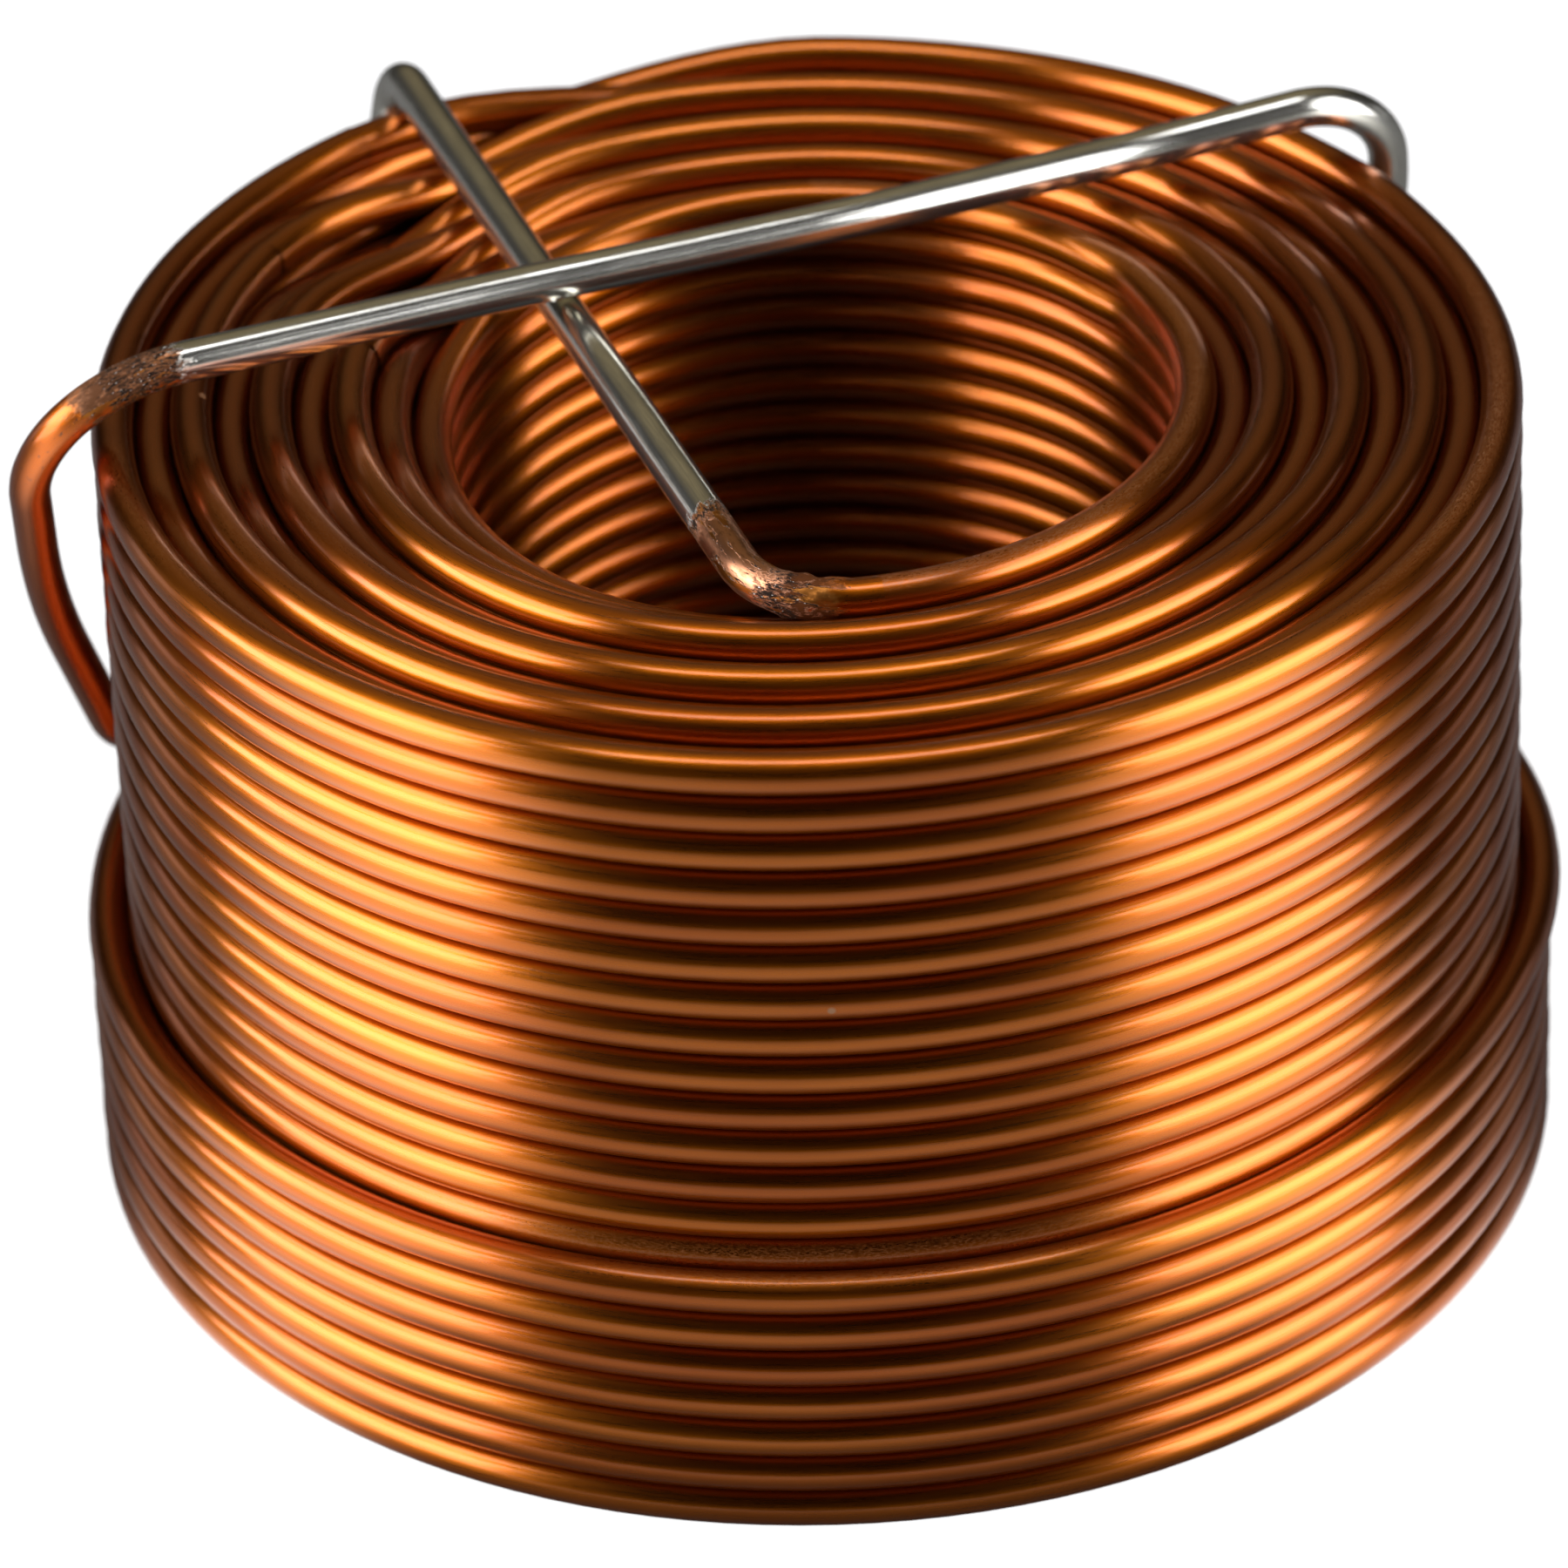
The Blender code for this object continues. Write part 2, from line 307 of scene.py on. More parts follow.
def hand_wobble(layer, angles, span):
    """Small irregularities of a layer, out and up, fading at its ends where it joins the next."""
    edge = ease((angles - span[0]) / 30) * ease((span[1] - angles) / 30)
    turns = np.radians(angles)
    up = edge * WIRE * (0.010 * np.sin(0.37 * turns + layer) + 0.008 * np.sin(1.13 * turns))
    out = edge * WIRE * 0.012 * np.sin(0.61 * turns + 2 * layer)
    return out, up


def layer_path(layer, events, span, segments):
    """Centre line of one layer: angles in degrees with their radius and height."""
    steps = max(8, int(round((span[1] - span[0]) / 360 * segments)))
    angles = np.linspace(span[0], span[1], steps + 1)
    radius, height = level_wire(angles, events)
    bulge = window(angles, seam_angle(layer) + SEAM_BULGE_LAG, SEAM_BULGE_REACH)
    radius = radius + (layer - 1) * SEAM_BULGE * bulge
    if layer < LAST_LAYER:
        depth = (layer - 1) / (FULL_LAYERS - 1)
        squeeze = LEFT_SQUEEZE * (1 - LEFT_SQUEEZE_LOST * depth**2)
        radius = radius - squeeze * window(angles, LEFT_ANGLE, LEFT_REACH)
    out, up = hand_wobble(layer, angles, span)
    radius, height = radius + out, height + up
    if layer % 2:
        top_turn = angles < span[0] + 340
        radius = radius + KNEE * window(angles, KNEE_ANGLE, KNEE_REACH) * top_turn
    if layer == LAST_LAYER:
        top_turn = angles > span[1] - 300
        loose = window(angles, STAND_OFF_MIDDLE, STAND_OFF_REACH) * top_turn
        tight = window(angles, TIGHT_MIDDLE, TIGHT_REACH)
        radius = radius + STAND_OFF * loose - TIGHT_NEST * tight
    return angles, radius, height


def round_points(angles, radius, height):
    """Points from angles in degrees, radius and height."""
    turns = np.radians(angles)
    return np.column_stack([radius * np.cos(turns), radius * np.sin(turns), height])


def placed(corner):
    """A lead's corner, from wire diameters above the top turn to metres."""
    x, y, height = corner
    return Vector((x * WIRE, y * WIRE, TOP_TURN + height * WIRE))


def bent_path(points, radii, arc_step, line_step):
    """Points along a wire bent at each corner to its radius; also the middle of each bend."""
    path, middles = [points[0]], {}
    for i in range(1, len(points) - 1):
        before = (points[i - 1] - points[i]).normalized()
        after = (points[i + 1] - points[i]).normalized()
        turn = math.pi - before.angle(after)
        reach = radii[i] * math.tan(turn / 2)
        centre = points[i] + (before + after).normalized() * (radii[i] / math.cos(turn / 2))
        start = points[i] + before * reach - centre
        normal = start.cross(points[i] + after * reach - centre).normalized()
        sideways = normal.cross(start)
        steps = max(2, 2 * math.ceil(turn * radii[i] / arc_step / 2))
        for k in range(steps + 1):
            angle = turn * k / steps
            path.append(centre + start * math.cos(angle) + sideways * math.sin(angle))
        middles[i] = centre + start * math.cos(turn / 2) + sideways * math.sin(turn / 2)
    path.append(points[-1])
    even = [path[0]]
    for a, b in zip(path, path[1:]):
        pieces = max(1, math.ceil((b - a).length / line_step))
        even += [a.lerp(b, k / pieces) for k in range(1, pieces + 1)]
    return np.array([tuple(p) for p in even]), {i: np.array(tuple(m)) for i, m in middles.items()}


def lengths_along(points):
    """Length of wire up to each point."""
    return np.concatenate([[0.0], np.cumsum(np.linalg.norm(np.diff(points, axis=0), axis=1))])


def drop_close(points, least):
    """The points without those that crowd the one before; the last one stays."""
    kept = [0]
    for i in range(1, len(points)):
        if np.linalg.norm(points[i] - points[kept[-1]]) >= least or i == len(points) - 1:
            kept.append(i)
    return points[kept]


# ---------------------------------------------------------------- meshes


def carried_frames(points, first_side):
    """Side and up at each point, with the side carried along without twist."""
    spans = np.diff(points, axis=0)
    spans /= np.linalg.norm(spans, axis=1)[:, None]
    tangents = np.vstack([spans[:1], spans[:-1] + spans[1:], spans[-1:]])
    tangents /= np.linalg.norm(tangents, axis=1)[:, None]
    sides = np.empty_like(points)
    side = np.array(first_side, float)
    for i, tangent in enumerate(tangents):
        side = side - tangent * (side @ tangent)
        side /= np.linalg.norm(side)
        sides[i] = side
    return sides, np.cross(tangents, sides)


def tube(name, points, sides_of, ups_of, radius, sides, lengths, values, cap_end=False):
    """A round wire along points.

    Radius is per point, or per point and side. Values become the mesh's attributes, and
    are per point or per vertex.
    """
    count = len(points)
    ring = 2 * np.pi * np.arange(sides) / sides
    radius = np.broadcast_to(np.asarray(radius, float).reshape(count, -1), (count, sides))
    vertices = (
        points[:, None, :]
        + sides_of[:, None, :] * (radius * np.cos(ring))[:, :, None]
        + ups_of[:, None, :] * (radius * np.sin(ring))[:, :, None]
    ).reshape(-1, 3)
    along = np.repeat(lengths / WIRE, sides)
    k = np.arange(count - 1)[:, None] * sides
    j = np.arange(sides)[None, :]
    j2 = (j + 1) % sides
    quads = np.stack([k + j, k + j2, k + sides + j2, k + sides + j], axis=-1).reshape(-1, 4)
    u0 = np.repeat(lengths[:-1] / WIRE, sides)
    u1 = np.repeat(lengths[1:] / WIRE, sides)
    v0 = np.tile(np.arange(sides) / sides, count - 1)
    v1 = v0 + 1 / sides
    uv = np.stack([u0, v0, u0, v1, u1, v1, u1, v0], axis=-1).reshape(-1, 2)
    faces = quads.tolist()
    cap_uv = []
    if cap_end:
        faces.append([(count - 1) * sides + i for i in range(sides)])
        cap_uv = [(lengths[-1] / WIRE, 0.5)] * sides
    mesh = bpy.data.meshes.new(name)
    mesh.from_pydata(vertices.tolist(), [], faces)
    layer = mesh.uv_layers.new(name="wire")
    uv = np.vstack([uv, np.array(cap_uv).reshape(-1, 2)])
    layer.data.foreach_set("uv", uv.astype(np.float32).ravel())
    for key, given in {"along": along, **values}.items():
        attribute = mesh.attributes.new(key, "FLOAT", "POINT")
        per_vertex = given if len(given) == len(vertices) else np.repeat(given, sides)
        attribute.data.foreach_set("value", np.asarray(per_vertex, np.float32))
    if np.cross(sides_of[0], ups_of[0]) @ (points[1] - points[0]) < 0:
        mesh.flip_normals()
    mesh.shade_smooth()
    obj = bpy.data.objects.new(name, mesh)
    bpy.context.scene.collection.objects.link(obj)
    return obj


def wound_frames(angles):
    """Outward and upward directions along a level turn."""
    turns = np.radians(angles)
    out = np.column_stack([np.cos(turns), np.sin(turns), np.zeros(len(angles))])
    up = np.tile([0.0, 0.0, 1.0], (len(angles), 1))
    return out, up


# ---------------------------------------------------------------- materials


class Nodes:
    """A material's node tree, with short calls for the few nodes used here."""

    def __init__(self, name):
        self.material = bpy.data.materials.new(name)
        self.material.use_nodes = True
        self.tree = self.material.node_tree
        self.shader = self.tree.nodes["Principled BSDF"]

    def add(self, kind, inputs=None, **settings):
        node = self.tree.nodes.new(kind)
        for key, value in settings.items():
            setattr(node, key, value)
        for key, value in (inputs or {}).items():
            self.put(node, key, value)
        return node

    def put(self, node, key, value):
        if isinstance(value, bpy.types.NodeSocket):
            self.tree.links.new(value, node.inputs[key])
        else:
            node.inputs[key].default_value = value

    def math(self, operation, *values, clamp=False):
        node = self.add("ShaderNodeMath", operation=operation, use_clamp=clamp)
        for i, value in enumerate(values):
            self.put(node, i, value)
        return node.outputs[0]

    def blend(self, share, first, second):
        """A colour between two."""
        node = self.add("ShaderNodeMix", data_type="RGBA")
        self.put(node, "Factor", share)
        for key, value in ((6, first), (7, second)):
            self.put(node, key, value if isinstance(value, bpy.types.NodeSocket) else (*value, 1.0))
        return node.outputs[2]

    def between(self, share, first, second):
        """A number between two."""
        node = self.add("ShaderNodeMix", data_type="FLOAT")
        for key, value in (("Factor", share), (2, first), (3, second)):
            self.put(node, key, value)
        return node.outputs[0]

    def ramp(self, value, low, high, first=0.0, second=1.0):
        """The first number where value is at low, the second where it is at high, smooth between."""
        node = self.add("ShaderNodeMapRange", interpolation_type="SMOOTHSTEP")
        for key, number in ((0, value), (1, low), (2, high), (3, first), (4, second)):
            self.put(node, key, number)
        return node.outputs[0]

    def value(self, name):
        """One of the mesh's own attributes."""
        return self.add("ShaderNodeAttribute", attribute_name=name).outputs["Fac"]

    def place(self):
        return self.add("ShaderNodeTexCoord").outputs["Object"]

    def noise(self, vector, scale, detail=3.0, rough=0.5):
        inputs = {"Vector": vector, "Scale": scale, "Detail": detail, "Roughness": rough}
        return self.add("ShaderNodeTexNoise", inputs).outputs["Fac"]

    def drawn(self, along, across):
        """A coordinate that runs with the wire: stretched along it, seamless round it."""
        uv = self.add("ShaderNodeUVMap", uv_map="wire").outputs[0]
        parts = self.add("ShaderNodeSeparateXYZ", {0: uv})
        turn = self.math("MULTIPLY", parts.outputs[1], 2 * math.pi)
        x = self.math("MULTIPLY", parts.outputs[0], along)
        y = self.math("MULTIPLY", self.math("COSINE", turn), across)
        z = self.math("MULTIPLY", self.math("SINE", turn), across)
        return self.add("ShaderNodeCombineXYZ", {0: x, 1: y, 2: z}).outputs[0]

    def specks(self, cells, size, share):
        """Scattered dots: 1 inside a dot, in only a share of the cells."""
        node = self.add("ShaderNodeTexVoronoi", {"Vector": self.place(), "Scale": cells})
        dot = self.ramp(node.outputs["Distance"], size, size * 0.6)
        pick = self.add("ShaderNodeSeparateColor", {0: node.outputs["Color"]}).outputs[0]
        return self.math("MULTIPLY", dot, self.math("LESS_THAN", pick, share))

    def draw_out(self, amount):
        """Reflections smeared across the wire, as the drawing die's fine scratches do."""
        tangent = self.add("ShaderNodeTangent", direction_type="UV_MAP", uv_map="wire")
        self.put(self.shader, "Tangent", tangent.outputs[0])
        self.put(self.shader, "Anisotropic", amount)
        self.put(self.shader, "Anisotropic Rotation", 0.25)

    def coat(self, weight):
        """The clear varnish over the enamel."""
        self.put(self.shader, "Coat Weight", weight)
        self.put(self.shader, "Coat Roughness", 0.15)
        self.put(self.shader, "Coat IOR", 1.5)

    def bump(self, height, strength, distance):
        inputs = {"Height": height, "Strength": strength, "Distance": distance}
        return self.add("ShaderNodeBump", inputs).outputs[0]


COPPER = (0.42, 0.106, 0.002)  # as seen through the orange enamel
COPPER_DEEP = (0.35, 0.075, 0.001)
DUST = (0.30, 0.17, 0.09)
ENAMEL_LEFT = (0.36, 0.13, 0.022)
SOOT = (0.02, 0.012, 0.008)
GLINT = (0.75, 0.72, 0.66)
TIN = (0.66, 0.645, 0.57)
TIN_DULL = (0.54, 0.525, 0.455)
TIN_STREAK = (0.38, 0.37, 0.325)
TIN_SPECKLE = (0.26, 0.24, 0.20)


def enamel_surface(n):
    """Sockets of the enamelled wire: colour with painted shade in reflections, roughness and drawing lines.
    """
    streaks = n.noise(n.drawn(0.10, 1.6), 4.0, 4.0, 0.6)
    slow = n.add("ShaderNodeCombineXYZ", {0: n.math("MULTIPLY", n.value("along"), 0.017)}).outputs[0]
    turn_tone = n.ramp(n.noise(slow, 3.0, 2.0), 0.36, 0.64)
    tone = n.math("MULTIPLY_ADD", n.noise(n.place(), 160.0, 2.0), 0.5, n.math("MULTIPLY", turn_tone, 0.6))
    colour = n.blend(n.ramp(tone, 0.2, 0.85), COPPER, COPPER_DEEP)
    # Painted shade: where one turn is seen in another turn's reflection, its colour is darkened by 12%,
    # which darkens the grooves between turns.
    painted_shade_in_reflections = n.add("ShaderNodeLightPath").outputs["Is Glossy Ray"]
    colour = n.blend(n.math("MULTIPLY", painted_shade_in_reflections, 0.12), colour, (0.0, 0.0, 0.0))
    rough = n.ramp(streaks, 0.3, 0.7, 0.26, 0.32)
    return colour, rough, streaks


def enamel_material(name):
    """The wound wire: enamel with scuffs, where the mesh's wear is above 0, and a few dots of dust."""
    n = Nodes(name)
    colour, rough, streaks = enamel_surface(n)
    grit = n.noise(n.drawn(1.6, 2.4), 7.0, 5.0, 0.75)
    scuff = n.math("MULTIPLY", n.value("wear"), n.ramp(grit, 0.40, 0.66), clamp=True)
    scuff = n.math("MAXIMUM", scuff, n.math("MULTIPLY", n.specks(330.0, 0.05, 0.07), 0.8))
    n.put(n.shader, "Base Color", n.blend(scuff, colour, DUST))
    n.put(n.shader, "Roughness", n.between(scuff, rough, 0.55))
    n.put(n.shader, "Metallic", n.between(scuff, 1.0, 0.35))
    n.coat(n.between(scuff, 0.5, 0.1))
    n.draw_out(0.78)
    n.put(n.shader, "Normal", n.bump(streaks, 0.12, 0.00002))
    return n.material


def flecked_enamel(n, along, enamel_end, residue):
    """The lead's enamel, with burnt flecks close to where it ends."""
    colour, rough, _ = enamel_surface(n)
    near = n.ramp(along, enamel_end - 5.0, enamel_end)
    flecks = n.ramp(n.noise(n.drawn(2.2, 2.2), 2.6, 4.0, 0.6), 0.62, 0.66)
    return n.blend(n.math("MULTIPLY", near, flecks), colour, residue), rough


def burnt_copper(n, edge, bare_copper, residue, crust_span, char_spots):
    """Bare copper under a crust, patches of enamel and char: colour, roughness, metal and cover."""
    left_on = n.noise(n.drawn(0.45, 1.3), 1.3, 4.0, 0.6)
    left = n.ramp(left_on, 0.51, 0.54)
    grain = n.noise(n.drawn(1.0, 1.0), 3.4, 6.0, 0.7)
    starts = n.ramp(edge, crust_span[0], crust_span[0] + 0.6)
    ends = n.ramp(edge, crust_span[1], crust_span[1] - 0.5)
    crust = n.math("MULTIPLY", n.math("MULTIPLY", starts, ends), n.ramp(grain, 0.34, 0.48))
    crust = n.math("MULTIPLY", crust, n.ramp(left, 0.0, 1.0, 1.0, 0.12))
    stain = n.math("MULTIPLY", n.ramp(grain, 0.50, 0.66), 0.45)

    flakes = n.noise(n.drawn(1.9, 2.6), 3.1, 6.0, 0.7)
    char = 0.0
    for spot in char_spots:
        near = n.ramp(n.math("ABSOLUTE", n.math("SUBTRACT", edge, spot)), 0.55, 0.15)
        char = n.math("MAXIMUM", char, n.math("MULTIPLY", near, n.ramp(flakes, 0.46, 0.53)))
    rim = n.ramp(n.math("ABSOLUTE", n.math("SUBTRACT", left_on, 0.51)), 0.022, 0.006)
    char = n.math("MAXIMUM", char, n.math("MULTIPLY", rim, n.ramp(flakes, 0.42, 0.50)))
    sparkle = n.ramp(n.noise(n.drawn(3.0, 3.0), 4.3, 2.0, 0.5), 0.66, 0.70)
    glint = n.math("MULTIPLY", sparkle, char)

    colour = n.blend(n.math("MAXIMUM", crust, stain), bare_copper, residue)
    colour = n.blend(left, colour, ENAMEL_LEFT)
    colour = n.blend(char, colour, SOOT)
    colour = n.blend(glint, colour, GLINT)
    cover = n.math("MAXIMUM", crust, char)
    rough = n.between(cover, 0.30, 0.62)
    covered = n.math("MAXIMUM", n.math("MULTIPLY", crust, 0.85), n.math("MULTIPLY", char, 0.8))
    metal = n.math("MAXIMUM", n.math("SUBTRACT", 1.0, covered), glint)
    return colour, rough, metal, cover


def tin_surface(n, drawn):
    """Dipped tin: colour and roughness, in faint streaks along the wire and soft blotches."""
    blotch = n.noise(n.drawn(0.5, 0.8), 1.6, 3.0, 0.5)
    speckle = n.ramp(n.noise(n.drawn(2.4, 2.4), 3.0, 3.0, 0.6), 0.60, 0.72)
    colour = n.blend(n.ramp(blotch, 0.3, 0.7), TIN, TIN_DULL)
    colour = n.blend(n.ramp(drawn, 0.42, 0.62, 0.0, 0.4), colour, TIN_STREAK)
    colour = n.blend(n.math("MULTIPLY", speckle, 0.3), colour, TIN_SPECKLE)
    streaky = n.ramp(drawn, 0.3, 0.7, 0.14, 0.19)
    return colour, n.math("ADD", streaky, n.ramp(blotch, 0.4, 0.8, 0.0, 0.05))


def lead_material(name, scorch_end, enamel_end, bare_copper, residue, crust_span, char_spots):
    """One wire in three finishes along its length: enamel, scorched bare copper, tin.

    Places are in wire diameters past the hinge, and their edges are ragged.
    """
    n = Nodes(name)
    along = n.value("past_hinge")
    ragged = n.noise(n.drawn(0.9, 0.9), 2.2, 4.0, 0.7)
    edge = n.math("ADD", along, n.math("MULTIPLY", n.math("SUBTRACT", ragged, 0.5), 1.6))
    to_scorch = n.ramp(edge, enamel_end - 0.25, enamel_end + 0.25)
    to_tin = n.ramp(edge, scorch_end - 0.12, scorch_end + 0.12)
    drawn = n.noise(n.drawn(0.12, 2.2), 5.0, 4.0, 0.6)

    enamel, enamel_rough = flecked_enamel(n, along, enamel_end, residue)
    bare, bare_rough, bare_metal, cover = burnt_copper(
        n, edge, bare_copper, residue, crust_span, char_spots)
    tin, tin_rough = tin_surface(n, drawn)
    n.put(n.shader, "Base Color", n.blend(to_tin, n.blend(to_scorch, enamel, bare), tin))
    rough = n.between(to_scorch, enamel_rough, bare_rough)
    n.put(n.shader, "Roughness", n.between(to_tin, rough, tin_rough))
    n.put(n.shader, "Metallic", n.between(to_tin, n.between(to_scorch, 1.0, bare_metal), 0.97))
    n.coat(n.math("SUBTRACT", 0.5, n.math("MAXIMUM", to_scorch, to_tin), clamp=True))
    n.draw_out(n.between(to_tin, 0.7, 0.0))
    n.put(n.shader, "Specular IOR Level", n.between(cover, 0.5, 0.06))

    burnt = n.math("MULTIPLY", to_scorch, n.math("SUBTRACT", 1.0, to_tin))
    lumps = n.math("MULTIPLY", cover, burnt)
    height = n.math("ADD", n.math("MULTIPLY", drawn, n.between(to_tin, 0.05, 0.007)), lumps)
    n.put(n.shader, "Normal", n.bump(height, 0.4, 0.00006))
    return n.material


def outer_lead_material():
    """Brown burnt copper at the arch."""
    bare, residue = (0.25, 0.10, 0.038), (0.10, 0.04, 0.016)
    return lead_material("outer_lead_finish", OUTER_SCORCH, OUTER_ENAMEL_END, bare, residue,
                         OUTER_CRUST, OUTER_CHAR)


def inner_lead_material():
    """Pink bare copper past a crusted bend."""
    bare, residue = (0.50, 0.225, 0.115), (0.085, 0.026, 0.007)
    return lead_material("inner_lead_finish", INNER_SCORCH, INNER_ENAMEL_END, bare, residue,
                         INNER_CRUST, INNER_CHAR)


# ---------------------------------------------------------------- the coil


def wear_of(layer, angles, sides):
    """Scuffing and dust where the coil has been rubbed or handled, per vertex."""
    around = 360 * np.arange(sides) / sides
    first_turns = angles < angles[0] + 300
    last_turns = angles > angles[-1] - 300
    wear = np.zeros((len(angles), sides))

    def rub(amount, along, middle, reach):
        """Wear a stretch of the wire on the side that faces middle, in degrees round the wire."""
        nonlocal wear
        wear = wear + amount * along[:, None] * window(around, middle, reach)[None, :]

    if layer == FULL_LAYERS:
        rub(0.7, window(angles, -12, 52) * (angles < angles[0] + 340), 100, 62)
        turn = (angles - (angles[0] - angles[0] % 360)) / 360
        rub(0.42, (np.abs(turn - 13.6) < 0.75) * window(angles, 268, 46), 25, 55)
        rub(0.3, window(angles, 196, 26) * first_turns, 100, 70)
    elif layer == LAST_LAYER:
        rub(0.4, window(angles, 272, 40) * last_turns, 75, 40)
    elif layer > 4:
        rub(0.25, window(angles, 204, 22) * (first_turns if layer % 2 else last_turns), 90, 80)
    return wear.ravel()


def build_layers(material):
    """All layers, each as one spiral of turns; returns where the wire ends, for the outer lead."""
    events, spans = wire_events()
    length = 0.0
    for layer in range(1, LAST_LAYER + 1):
        shown = layer in (1, FULL_LAYERS, LAST_LAYER)
        segments = SHOWN_SEGMENTS if shown else HIDDEN_SEGMENTS
        sides = SHOWN_SIDES if shown else HIDDEN_SIDES
        angles, radius, height = layer_path(layer, events, spans[layer], segments)
        points = round_points(angles, radius, height)
        out, up = wound_frames(angles)
        lengths = length + lengths_along(points)
        length = lengths[-1]
        wear = {"wear": wear_of(layer, angles, sides)}
        name = f"wound_layer_{layer:02d}"
        obj = tube(name, points, out, up, np.full(len(points), 0.5 * WIRE), sides, lengths, wear)
        obj.data.materials.append(material)
        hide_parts(f"winding_layer_{layer:02d}")
        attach(obj, "coil")
    return angles[-1], radius[-1], height[-1]


def crusted(along, sides, span):
    """How far charred enamel swells the wire, along it and round it."""
    swell = ease((along - span[0]) / 0.6) * ease((span[1] - along) / 0.5)
    round_it = 2 * np.pi * np.arange(sides) / sides
    a, r = along[:, None], round_it[None, :]
    lumps = np.sin(5.1 * a + 2 * r) + np.sin(8.3 * a - 3 * r + 1.3) + 0.7 * np.sin(12.7 * a + 5 * r)
    return 1 + swell[:, None] * (0.07 + 0.045 * lumps)


class Lead:
    """A lead's centre line from its root over its corners, with its hinge and where its tin starts."""

    def __init__(self, root, first_side, corners, hinge_corner, scorch, material):
        bends = [Vector(root[-1])] + [placed(corner) for corner, _ in corners]
        radii = [0.0] + [radius * WIRE for _, radius in corners]
        bent, middles = bent_path(bends, radii, BEND_STEP, STRAIGHT_STEP)
        self.points = drop_close(np.vstack([root[:-1], bent]), CLOSEST_POINTS)
        self.lengths = lengths_along(self.points)
        self.sides, self.ups = carried_frames(self.points, first_side)
        nearest = np.argmin(np.linalg.norm(self.points - middles[hinge_corner], axis=1))
        self.hinge_length = self.lengths[nearest]
        self.before = self.point_at(-BEND_REACH)
        self.after = self.point_at(BEND_REACH)
        self.tinned = self.point_at(scorch * WIRE)
        self.material = material

    def point_at(self, past_hinge):
        """Number of the point closest to a length past the hinge."""
        return int(np.argmin(np.abs(self.lengths - (self.hinge_length + past_hinge))))

    def piece(self, name, first, last, cap_end=False, crust=None):
        """The stretch from the first point to the last one."""
        along = (self.lengths - self.hinge_length) / WIRE
        radius = np.full((len(self.points), LEAD_SIDES), 0.5 * WIRE)
        if crust:
            radius *= crusted(along, LEAD_SIDES, crust)
        if cap_end:
            radius[-len(TIP_ROUNDING):] *= np.array(TIP_ROUNDING)[:, None]
        keep = slice(first, last + 1)
        obj = tube(name, self.points[keep], self.sides[keep], self.ups[keep], radius[keep], LEAD_SIDES,
                   self.lengths[keep], {"past_hinge": along[keep]}, cap_end)
        obj.data.materials.append(self.material)
        return obj

    def blend_over(self, obj):
        """Bakes the piece's placement into its mesh."""
        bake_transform(obj)

    def build_moving_end(self, lead):
        """The burnt and the tinned length, which swing with the lead's body."""
        end = len(self.points) - 1
        burnt = self.piece(f"{lead}_burnt", self.after, self.tinned)
        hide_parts(f"{lead}_scorched")
        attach(burnt, lead)
        bright = self.piece(f"{lead}_bright", self.tinned, end, cap_end=True)
        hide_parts(f"{lead}_tinned")
        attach(bright, lead)


def outward(angle):
    """Level direction away from the coil's axis."""
    turn = math.radians(angle)
    return (math.cos(turn), math.sin(turn), 0)


def outer_root(root_end):
    """Along the part layer's top, lifting off it towards the lead's foot."""
    angle, radius, height = root_end
    to_angle = OUTER_FOOT_ANGLE + 360 * math.floor(angle / 360)
    angles = angle + (to_angle - angle) * np.linspace(0, 1, 40)
    share = ease((angles - angle) / OUTER_FOOT_ARC)
    out = radius + (layer_radius(LAST_LAYER) + OUTER_FOOT_STAND_OFF - radius) * share
    return round_points(angles, out, height + OUTER_FOOT_RISE * share)


def build_outer_lead(root_end, material):
    """Up from the part layer, over the left rim, across the top and down over the right rim."""
    root = outer_root(root_end)
    lead = Lead(root, outward(root_end[0]), OUTER_CORNERS, OUTER_ARCH, OUTER_SCORCH, material)
    riser = lead.piece("outer_lead_riser", 0, lead.before)
    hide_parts("outer_lead_root")
    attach(riser, "coil")
    arch = lead.piece("outer_lead_arch", lead.before, lead.after)
    lead.blend_over(arch)
    lead.build_moving_end("outer_lead")


def build_inner_turn(material):
    """The wire's first turn on top of layer 1, still enamelled, with flecks close to the burnt bend."""
    angles = np.linspace(first_step(), INNER_RING_END, 96)
    radius = INNER_RADIUS + KNEE * window(angles, KNEE_ANGLE, KNEE_REACH)
    ring = round_points(angles, radius, np.full(len(angles), TOP_TURN))
    out, up = wound_frames(angles)
    near_burn = ease((angles - INNER_RING_END + 30) / 24)[:, None]
    around = 360 * np.arange(SHOWN_SIDES) / SHOWN_SIDES
    flecks = 0.5 * near_burn * window(around, 80, 55)[None, :]
    obj = tube("inner_lead_turn", ring, out, up, np.full(len(ring), 0.5 * WIRE), SHOWN_SIDES,
               lengths_along(ring), {"wear": flecks.ravel()})
    obj.data.materials.append(material)
    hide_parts("inner_lead_root")
    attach(obj, "coil")


def build_inner_lead(material):
    """Off the top of layer 1 at the front, across the bore and down over the back rim."""
    arc = np.linspace(INNER_RING_END, INNER_LEAVE_ANGLE, 10)
    root = round_points(arc, INNER_RADIUS, np.full(len(arc), TOP_TURN))
    lead = Lead(root, outward(INNER_RING_END), INNER_CORNERS, INNER_BEND, INNER_SCORCH, material)
    bend = lead.piece("inner_lead_bend", 0, lead.after, crust=INNER_CRUST)
    lead.blend_over(bend)
    lead.build_moving_end("inner_lead")


# ---------------------------------------------------------------- stage


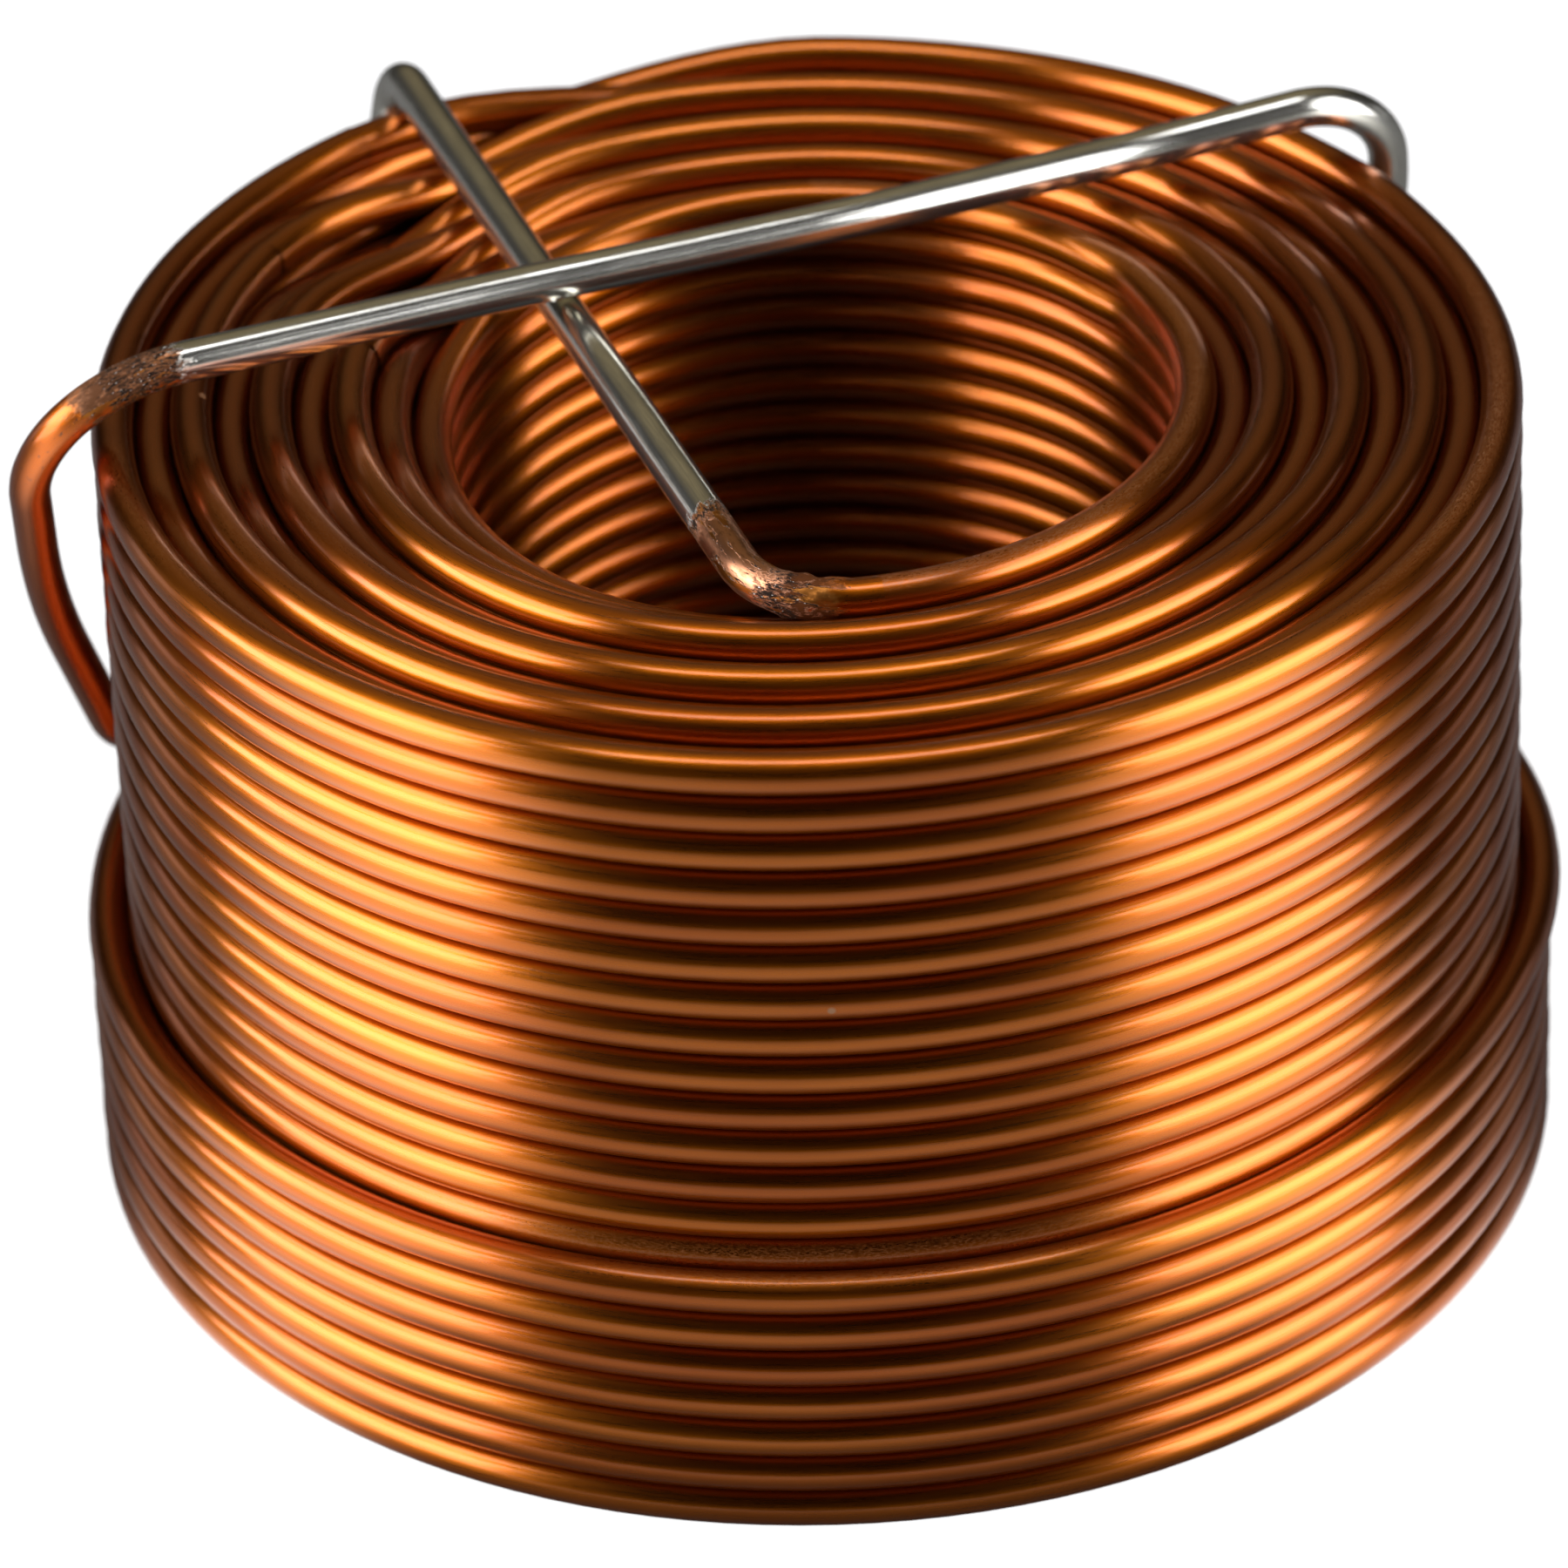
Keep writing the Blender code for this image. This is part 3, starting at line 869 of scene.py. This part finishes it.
def floor_glow(n):
    """Painted light: the floor glows to the coil though it is no lamp. It is brightest at both front sides
    and dim behind and below the bore, with a painted shadow round the coil's foot and a painted glow under
    the winding.

    Angles are counted from the front. The winding stands at a reach of about 0.010 to 0.019.
    """
    parts = n.add("ShaderNodeSeparateXYZ", {0: n.place()})
    front = n.math("MULTIPLY", parts.outputs[1], -1.0)
    turned = n.math("ARCTAN2", n.math("ABSOLUTE", parts.outputs[0]), front)
    reach = n.add("ShaderNodeVectorMath", {0: n.place()}, operation="LENGTH").outputs["Value"]
    # Painted pools of light on both front sides, and painted shade behind the coil.
    lit = n.math("MULTIPLY", n.ramp(turned, 0.50, 0.90), n.ramp(turned, 1.62, 0.98))
    behind = n.ramp(turned, 1.0, 1.8, 0.0, 0.54)
    glow = n.math("SUBTRACT", n.math("MULTIPLY_ADD", lit, 1.9, 0.62), behind)
    # Painted shadow: the floor is dark in a ring round the coil's foot.
    clear_of_painted_foot_shadow = n.ramp(reach, 0.0185, 0.029)
    glow = n.math("MULTIPLY", glow, n.math("MAXIMUM", clear_of_painted_foot_shadow, n.math("MULTIPLY", lit, 0.6)))
    glow = n.math("MULTIPLY", glow, n.math("MAXIMUM", n.ramp(reach, 0.03, 0.15, 1.0, 0.35), lit))
    # Painted shade: the floor inside the bore is dim.
    glow = n.math("MULTIPLY", glow, n.ramp(reach, 0.010, 0.019, 0.05, 1.0))
    # Painted light: a ring of glow under the winding lights the coil's bottom turns.
    painted_glow_under_coil = n.math("MULTIPLY", n.ramp(reach, 0.0100, 0.0110), n.ramp(reach, 0.0183, 0.0175))
    return n.math("MAXIMUM", glow, n.math("MULTIPLY", painted_glow_under_coil, 0.5))


def floor_material():
    """A pale floor that the camera sees as white, and from below as nothing; to the coil it glows with
    painted light.
    """
    n = Nodes("pale_floor")
    seen = n.add("ShaderNodeLightPath").outputs["Is Camera Ray"]
    n.put(n.shader, "Base Color", (0.08, 0.08, 0.08, 1))
    n.put(n.shader, "Roughness", 0.9)
    n.put(n.shader, "Emission Color", (1, 1, 1, 1))
    # Painted light: to all rays but the camera's, the floor glows by floor_glow.
    n.put(n.shader, "Emission Strength", n.between(seen, floor_glow(n), 1.0))
    clear = n.add("ShaderNodeBsdfTransparent")
    from_below = n.add("ShaderNodeNewGeometry").outputs["Backfacing"]
    sheet = n.add("ShaderNodeMixShader", {0: from_below, 1: n.shader.outputs[0], 2: clear.outputs[0]})
    n.put(n.tree.nodes["Material Output"], "Surface", sheet.outputs[0])
    return n.material


def build_floor():
    side = FLOOR_HALF
    mesh = bpy.data.meshes.new("floor")
    corners = [(-side, -side, 0), (side, -side, 0), (side, side, 0), (-side, side, 0)]
    mesh.from_pydata(corners, [], [(0, 1, 2, 3)])
    mesh.materials.append(floor_material())
    floor = bpy.data.objects.new("floor", mesh)
    floor.location.z = CAD_BOX[0].z - FLOOR_GAP
    bpy.context.scene.collection.objects.link(floor)


def panel(name, azimuth, elevation, width, height, radiance):
    """A soft light facing the coil."""
    a, e = math.radians(azimuth), math.radians(elevation)
    toward = Vector((math.sin(a) * math.cos(e), -math.cos(a) * math.cos(e), math.sin(e)))
    light = bpy.data.lights.new(name, "AREA")
    light.shape = "RECTANGLE"
    light.size, light.size_y = width, height
    light.energy = radiance * math.pi * width * height
    light.color = PANEL_COLOUR
    obj = bpy.data.objects.new(name, light)
    obj.location = toward * PANEL_DISTANCE + Vector((0, 0, 0.5 * TOP_TURN))
    obj.rotation_mode = "QUATERNION"
    obj.rotation_quaternion = toward.to_track_quat("Z", "Y")
    bpy.context.scene.collection.objects.link(obj)


def build_world():
    """A dim room with a warm glow high at the back; the camera itself sees a white backdrop."""
    world = bpy.data.worlds.new("studio")
    world.use_nodes = True
    tree = world.node_tree
    coordinate = tree.nodes.new("ShaderNodeTexCoord")
    toward = tree.nodes.new("ShaderNodeVectorMath")
    toward.operation = "DOT_PRODUCT"
    toward.inputs[1].default_value = GLOW_TOWARD
    ramp = tree.nodes.new("ShaderNodeMapRange")
    tree.links.new(coordinate.outputs["Generated"], toward.inputs[0])
    tree.links.new(toward.outputs["Value"], ramp.inputs[0])
    for key, value in ((1, 0.72), (2, 1.0), (3, 0.014), (4, 0.25)):
        ramp.inputs[key].default_value = value
    room = tree.nodes["Background"]
    room.inputs["Color"].default_value = (*GLOW_COLOUR, 1.0)
    tree.links.new(ramp.outputs[0], room.inputs["Strength"])
    backdrop = tree.nodes.new("ShaderNodeBackground")
    backdrop.inputs["Color"].default_value = (1.0, 1.0, 1.0, 1.0)
    seen = tree.nodes.new("ShaderNodeLightPath")
    chosen = tree.nodes.new("ShaderNodeMixShader")
    tree.links.new(seen.outputs["Is Camera Ray"], chosen.inputs[0])
    tree.links.new(room.outputs[0], chosen.inputs[1])
    tree.links.new(backdrop.outputs[0], chosen.inputs[2])
    tree.links.new(chosen.outputs[0], tree.nodes["World Output"].inputs["Surface"])
    bpy.context.scene.world = world


def build_light():
    for settings in PANELS:
        panel(*settings)
    build_world()


def build_focus(camera):
    """A point between the coil and the camera, wherever that is, so that the near side is sharp."""
    focus = bpy.data.objects.new("focus", None)
    focus.location = (0.0, 0.0, FOCUS_HEIGHT)
    nearer = focus.constraints.new("COPY_LOCATION")
    nearer.target = camera
    nearer.influence = FOCUS_SHARE
    bpy.context.scene.collection.objects.link(focus)
    return focus


def build_camera():
    data = bpy.data.cameras.new("camera")
    data.lens = CAMERA_LENS
    data.sensor_width = 36.0
    data.shift_x, data.shift_y = CAMERA_SHIFT
    data.clip_start, data.clip_end = 0.01, 20.0
    camera = bpy.data.objects.new("camera", data)
    back = Vector((0, -math.cos(CAMERA_ELEVATION), math.sin(CAMERA_ELEVATION)))
    camera.location = Vector((0, 0, CAMERA_AIM)) + back * CAMERA_DISTANCE
    camera.rotation_mode = "QUATERNION"
    roll = Quaternion((0, 0, 1), CAMERA_ROLL)
    camera.rotation_quaternion = (-back).to_track_quat("-Z", "Y") @ roll
    data.dof.use_dof = True
    data.dof.aperture_fstop = APERTURE
    data.dof.focus_object = build_focus(camera)
    bpy.context.scene.collection.objects.link(camera)
    bpy.context.scene.camera = camera


def main():
    enamel = enamel_material("enamelled_copper")
    root_end = build_layers(enamel)
    build_outer_lead(root_end, outer_lead_material())
    build_inner_turn(enamel)
    build_inner_lead(inner_lead_material())
    build_floor()
    build_light()
    build_camera()
    bpy.context.scene.view_settings.view_transform = "Standard"


main()
